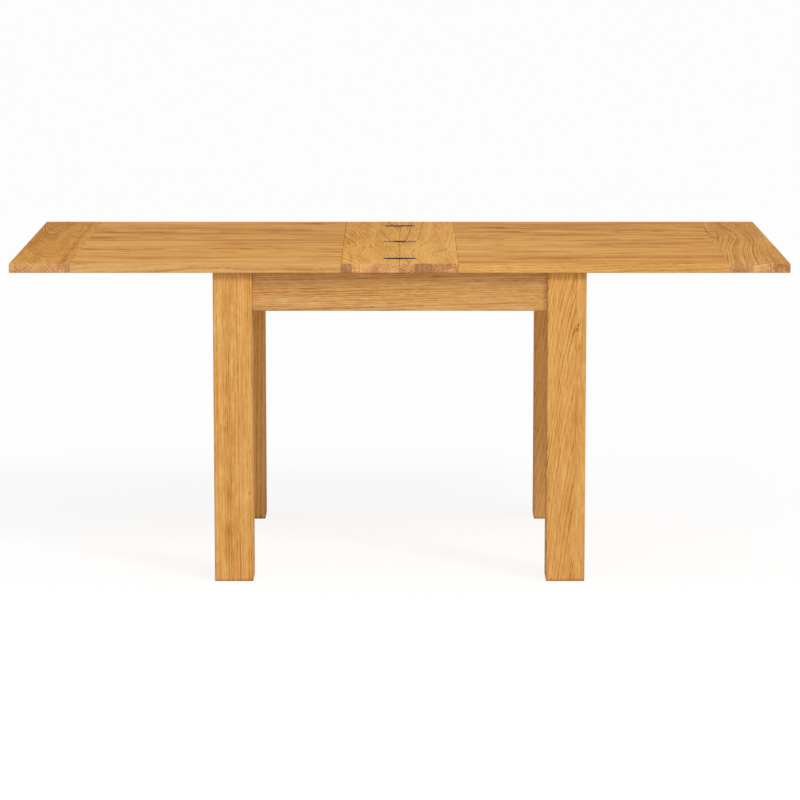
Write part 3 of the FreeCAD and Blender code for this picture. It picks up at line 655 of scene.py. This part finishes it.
upright = (0.0, 0.0, 1.0)
corner_signs = {"front_left": (-1, -1), "front_right": (1, -1), "rear_left": (-1, 1), "rear_right": (1, 1)}
for number, (corner, signs) in enumerate(corner_signs.items()):
    mitre = Vector((signs[0], -signs[1], 0.0)).normalized()
    node = "corner_block_" + corner
    finish_with(node, beech(node, tuple(mitre), upright, 3.1 + 2 * number))
slide_pieces = ("guide_rail_front", "guide_rail_rear", "slide_runner_front", "slide_runner_rear")
for number, node in enumerate(slide_pieces):
    finish_with(node, beech(node, (1.0, 0.0, 0.0), upright, 14.3 + 3 * number))


# ----------------------------------------------------------------------------------- Zinc-plated parts
# Screws of the corner blocks and runners, and the hanger bolts with their washers and nuts: turned steel,
# barrel-plated with zinc, a little cloudy, with fine marks from the plating drum and the driver.

def plated(name, colour, paler_colour, edge, roughness, brushing, wear=None):
    """Bare or plated metal: its colour seen flat and edge on, and the direction in which it is brushed."""
    material, tree, shader, place = new_material(name)
    shader.inputs["Metallic"].default_value = 1.0
    shader.inputs["Specular Tint"].default_value = edge
    cloud = mottle(tree, place, (220.0, 220.0, 220.0), 3.0)["Fac"]
    scratches = mottle(tree, place, brushing, 3.0, 0.7)["Fac"]
    mixture = maths(tree, "MULTIPLY_ADD", scratches, 0.6, maths(tree, "SUBTRACT", cloud, 0.3))
    base = mixed(tree, maths(tree, "ADD", mixture, 0.0, clamp=True), colour, paler_colour)
    if wear:
        rubbed = spread(tree, mottle(tree, place, (70.0, 70.0, 70.0), 4.0)["Fac"], 0.52, 0.66)
        base = mixed(tree, maths(tree, "MULTIPLY", rubbed, 0.5), base, wear)
    feed(tree, shader.inputs["Base Color"], base)
    uneven = spread(tree, mixture, 0.1, 0.6, roughness - 0.08, roughness + 0.10)
    feed(tree, shader.inputs["Roughness"], uneven)
    bump = add(tree, "ShaderNodeBump")
    bump.inputs["Strength"].default_value = 0.12
    bump.inputs["Distance"].default_value = 0.0001
    feed(tree, bump.inputs["Height"], scratches)
    feed(tree, shader.inputs["Normal"], bump.outputs[0])
    return material


zinc = plated("zinc_plate", (0.55, 0.57, 0.59, 1.0), (0.74, 0.73, 0.69, 1.0), (0.9, 0.9, 0.9, 1.0), 0.36,
              (700.0, 700.0, 2600.0))
for node in ("corner_block_screws", "slide_runner_screws", "hanger_bolts", "hanger_washers", "hanger_nuts"):
    finish_with(node, zinc)


# ------------------------------------------------------------------------------------------- Hinges
# Three pairs of browned, waxed steel plates let in flush with the top and screwed down, with two black
# pins and two black links between each pair, deeper in the wood. The middle hinge's screws are made paler
# and brighter: a painted highlight for their glint.

hinge_steel = plated("hinge_steel", (0.024, 0.021, 0.021, 1.0), (0.040, 0.036, 0.036, 1.0),
                     (0.37, 0.44, 0.54, 1.0), 0.40, (120.0, 3000.0, 3000.0), wear=(0.055, 0.048, 0.044, 1.0))
link_steel = plated("link_steel", (0.012, 0.011, 0.011, 1.0), (0.022, 0.020, 0.020, 1.0),
                    (0.010, 0.010, 0.012, 1.0), 0.42, (600.0, 600.0, 2600.0))
screw_edge = (0.15, 0.15, 0.16, 1.0)
screw_steel = plated("screw_steel", (0.17, 0.16, 0.155, 1.0), (0.24, 0.23, 0.22, 1.0), screw_edge, 0.35,
                     (1800.0, 1800.0, 600.0))
tree = screw_steel.node_tree
shader = tree.nodes["Principled BSDF"]
place = add(tree, "ShaderNodeTexCoord").outputs["Object"]
# Painted highlight: the screws of the middle hinge get a pale, bright metal so that they glint.
painted_glint = spread(tree, maths(tree, "ABSOLUTE", parts_of(tree, place)[1]), 0.10, 0.20, 1.0, 0.0)
dull = shader.inputs["Base Color"].links[0].from_socket
feed(tree, shader.inputs["Base Color"], mixed(tree, painted_glint, dull, (0.85, 0.83, 0.80, 1.0)))
feed(tree, shader.inputs["Specular Tint"], mixed(tree, painted_glint, screw_edge, (0.95, 0.95, 0.95, 1.0)))
for hinge in ("hinge_front", "hinge_centre", "hinge_rear"):
    finish_with(hinge + "_fixed_plate", hinge_steel)
    finish_with(hinge + "_flap_plate", hinge_steel)
    finish_with(hinge + "_links", link_steel)
for leaf in ("fixed", "flap"):
    finish_with("hinge_pins_" + leaf, link_steel)
    finish_with("hinge_screws_" + leaf, screw_steel)


# ------------------------------------------------------------------------------------ Glide strips
# Four strips of brown wool felt, 14 mm wide and just under 2 mm thick, stuck along the aprons' tops.
# The leaves rest and slide on them.

felt, tree, shader, place = new_material("felt")
fluff = mottle(tree, place, (1100.0, 1100.0, 1100.0), 5.0, 0.7)["Fac"]
pressed = mottle(tree, place, (40.0, 40.0, 40.0), 2.0)["Fac"]
wool = maths(tree, "MULTIPLY_ADD", pressed, 0.5, maths(tree, "SUBTRACT", fluff, 0.25))
tint = add(tree, "ShaderNodeValToRGB")
tint.color_ramp.elements[0].position = 0.25
tint.color_ramp.elements[0].color = (0.10, 0.050, 0.025, 1.0)
tint.color_ramp.elements[1].position = 0.75
tint.color_ramp.elements[1].color = (0.30, 0.165, 0.085, 1.0)
feed(tree, tint.inputs[0], wool)
feed(tree, shader.inputs["Base Color"], tint.outputs[0])
feed(tree, shader.inputs["Roughness"], spread(tree, wool, 0.2, 0.8, 0.88, 1.0))
shader.inputs["Specular IOR Level"].default_value = 0.1
shader.inputs["Sheen Weight"].default_value = 0.10
shader.inputs["Sheen Roughness"].default_value = 0.6
bump = add(tree, "ShaderNodeBump")
bump.inputs["Strength"].default_value = 0.7
bump.inputs["Distance"].default_value = 0.0006
feed(tree, bump.inputs["Height"], fluff)
feed(tree, shader.inputs["Normal"], bump.outputs[0])
for side in ("front", "rear", "left", "right"):
    finish_with("glide_strip_" + side, felt)


# ----------------------------------------------------------------------------- Floor, light, camera
# A pale studio floor, one soft main light from the upper right front, two softboxes before the table
# and even light from all round. The camera stands 8.7 m before the table's middle, 1 m above its top.

floor_half = 60.0
floor_mesh = bpy.data.meshes.new("floor")
shape = bmesh.new()
bmesh.ops.create_grid(shape, x_segments=1, y_segments=1, size=floor_half)
shape.to_mesh(floor_mesh)
shape.free()
floor = bpy.data.objects.new("floor", floor_mesh)
bpy.context.scene.collection.objects.link(floor)


def seen_directly(tree):
    """1 for rays from the camera and for what shows in gloss or glass, 0 for light that falls on things."""
    path = add(tree, "ShaderNodeLightPath")
    direct = maths(tree, "MAXIMUM", path.outputs["Is Camera Ray"], path.outputs["Is Glossy Ray"])
    return maths(tree, "MAXIMUM", direct, path.outputs["Is Transmission Ray"])


floor_glow = 0.80
floor_material = bpy.data.materials.new("floor")
floor_material.use_nodes = True
tree = floor_material.node_tree
tree.nodes.clear()
matt = add(tree, "ShaderNodeBsdfDiffuse")
matt.inputs["Color"].default_value = (0.85, 0.85, 0.85, 1.0)
glow = add(tree, "ShaderNodeEmission")
glow.inputs["Color"].default_value = (1.0, 1.0, 1.0, 1.0)
glow.inputs["Strength"].default_value = 1.08
clear = add(tree, "ShaderNodeBsdfTransparent")
paler = add(tree, "ShaderNodeMixShader")
feed(tree, paler.inputs[0], maths(tree, "MULTIPLY", seen_directly(tree), floor_glow))
feed(tree, paler.inputs[1], matt.outputs[0])
feed(tree, paler.inputs[2], glow.outputs[0])
one_sided = add(tree, "ShaderNodeMixShader")
feed(tree, one_sided.inputs[0], add(tree, "ShaderNodeNewGeometry").outputs["Backfacing"])
feed(tree, one_sided.inputs[1], paler.outputs[0])
feed(tree, one_sided.inputs[2], clear.outputs[0])
feed(tree, add(tree, "ShaderNodeOutputMaterial").inputs["Surface"], one_sided.outputs[0])
floor_mesh.materials.append(floor_material)

light_all_round = 0.46
backdrop = 1.0
world = bpy.data.worlds.new("studio")
bpy.context.scene.world = world
world.use_nodes = True
tree = world.node_tree
tree.nodes.clear()
around = add(tree, "ShaderNodeBackground")
around.inputs["Color"].default_value = (1.0, 1.0, 1.0, 1.0)
strength = spread(tree, seen_directly(tree), 0.0, 1.0, light_all_round, backdrop)
feed(tree, around.inputs["Strength"], strength)
feed(tree, add(tree, "ShaderNodeOutputWorld").inputs["Surface"], around.outputs[0])


def lamp(name, kind, place, aim, energy, **settings):
    """A studio lamp at a place, pointed at another."""
    data = bpy.data.lights.new(name, kind)
    data.energy = energy
    for setting, value in settings.items():
        setattr(data, setting, value)
    stand = bpy.data.objects.new(name, data)
    bpy.context.scene.collection.objects.link(stand)
    stand.location = place
    stand.rotation_euler = (Vector(aim) - Vector(place)).to_track_quat("-Z", "Y").to_euler()


below_the_top = (0.0, 0.0, 0.6)
lamp("main_light", "SUN", (0.92, -1.0, 1.1), (0.0, 0.0, 0.0), 1.15, angle=math.radians(16))
lamp("front_softbox", "AREA", (0.0, -4.0, 1.45), below_the_top, 12.0, shape="RECTANGLE", size=3.2,
     size_y=2.8)
lamp("upper_softbox", "AREA", (0.0, -2.6, 2.9), below_the_top, 26.0, shape="RECTANGLE", size=2.0,
     size_y=1.2)

camera_place = (0.000729, -8.68729, 1.73345)
camera_dip = 0.1567
camera_data = bpy.data.cameras.new("camera")
camera_data.lens = 162.09
camera_data.sensor_width = 36.0
camera_data.clip_end = 100.0
camera = bpy.data.objects.new("camera", camera_data)
bpy.context.scene.collection.objects.link(camera)
camera.location = camera_place
camera.rotation_euler = (math.pi / 2 - camera_dip, 0.0, 0.0)
bpy.context.scene.camera = camera
bpy.context.scene.view_settings.view_transform = "Standard"
